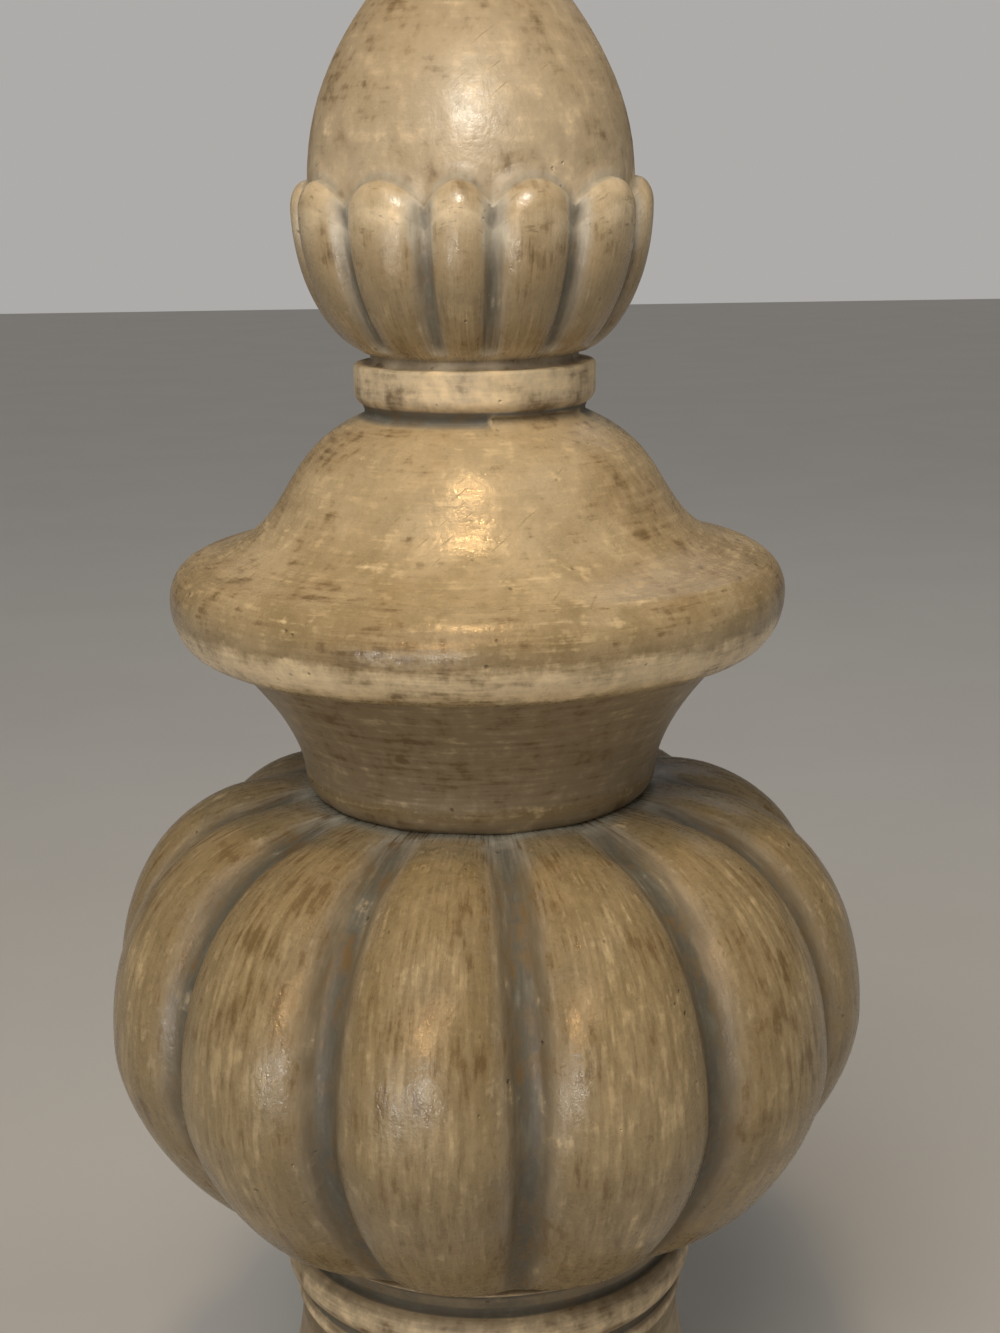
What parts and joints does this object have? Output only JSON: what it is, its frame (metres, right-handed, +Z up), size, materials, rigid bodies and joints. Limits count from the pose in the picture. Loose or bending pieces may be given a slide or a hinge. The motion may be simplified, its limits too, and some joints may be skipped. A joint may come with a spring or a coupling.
{
  "type": "tabletop finial",
  "caption": "Turned decorative finial that stands on a round foot: gadrooned melon body, cup and wide brim, bell, collar, and a bud set in a lobed calyx.",
  "frame": {"origin": "centre of the flat underside of the foot", "axes": "+Z up along the turning axis, -Y towards the front that the picture shows"},
  "size_m": [0.2276, 0.2276, 0.5075],
  "materials": {
    "distressed_paint": "satin tan paint on cast resin, dry-brushed brown, with a grey-blue wash in the grooves"
  },
  "bodies": {
    "root": {"finial": "distressed_paint"}
  },
  "joints": []
}
